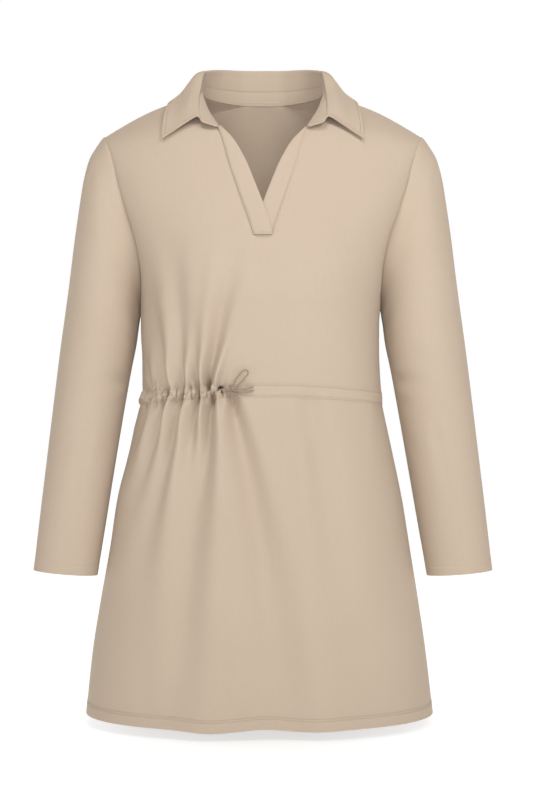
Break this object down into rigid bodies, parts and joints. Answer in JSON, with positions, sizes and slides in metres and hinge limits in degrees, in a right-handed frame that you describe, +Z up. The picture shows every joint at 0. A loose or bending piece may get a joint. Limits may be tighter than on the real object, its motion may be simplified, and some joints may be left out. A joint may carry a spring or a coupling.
{
  "type": "shirt dress",
  "caption": "Long-sleeved A-line dress in worn, hollow form, with a turned-down collar, an open V placket and a drawcord casing that gathers one side of the front waist.",
  "frame": {"origin": "in the middle of the neck opening, level with the shoulders, where the wearer's neck and shoulders hold the dress", "axes": "+Z up, -Y out of the front of the dress, +X towards the wearer's left"},
  "size_m": [0.5904, 0.2894, 0.8462],
  "materials": {
    "cloth": "smooth sand-coloured mid-weight knit, matte with a soft sheen",
    "cord": "fine round braided cord, matte",
    "eyelet": "hole bound with close stitches"
  },
  "bodies": {
    "root": {"front": "cloth", "back": "cloth", "sleeve_left": "cloth", "sleeve_right": "cloth", "placket_over": "cloth", "placket_under": "cloth", "collar_stand": "cloth", "collar_leaf": "cloth", "waist_casing": "cloth", "eyelet": "eyelet", "drawcord_lead": "cord", "drawcord_knot": "cord", "drawcord_loop": "cord", "drawcord_end_upper": "cord", "drawcord_end_lower": "cord"}
  },
  "joints": []
}
